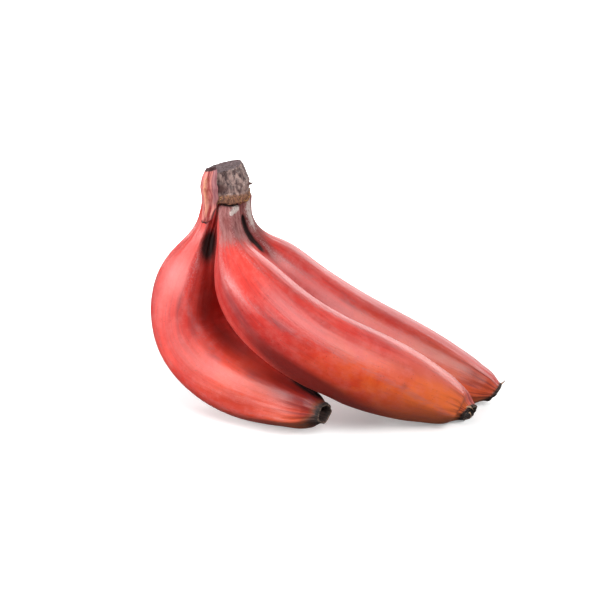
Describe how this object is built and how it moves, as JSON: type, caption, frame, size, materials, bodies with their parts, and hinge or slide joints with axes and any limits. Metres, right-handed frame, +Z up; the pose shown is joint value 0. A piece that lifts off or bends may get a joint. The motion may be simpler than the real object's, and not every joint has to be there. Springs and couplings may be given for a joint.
{
  "type": "hand of red bananas",
  "caption": "Hand of red bananas joined at a cut woody crown, lying on its bellies and tips, with curved ridged fruits and blunt dark blossom ends.",
  "frame": {"origin": "middle of the base, on the surface that the hand rests on", "axes": "+X along the fruits towards the blossom ends, +Y away from the front fruit, +Z up towards the crown"},
  "size_m": [0.19, 0.0924, 0.136],
  "materials": {
    "banana_peel": "smooth waxy red peel, soft satin sheen, fine lengthwise streaks",
    "crown_bark": "rough dry grey-brown cut stalk",
    "torn_stalk_skin": "dull torn stalk skin with a dry edge"
  },
  "bodies": {
    "root": {"crown": "crown_bark", "torn_stem_strip": "torn_stalk_skin", "banana_left": "banana_peel", "banana_front": "banana_peel", "banana_back": "banana_peel"}
  },
  "joints": []
}
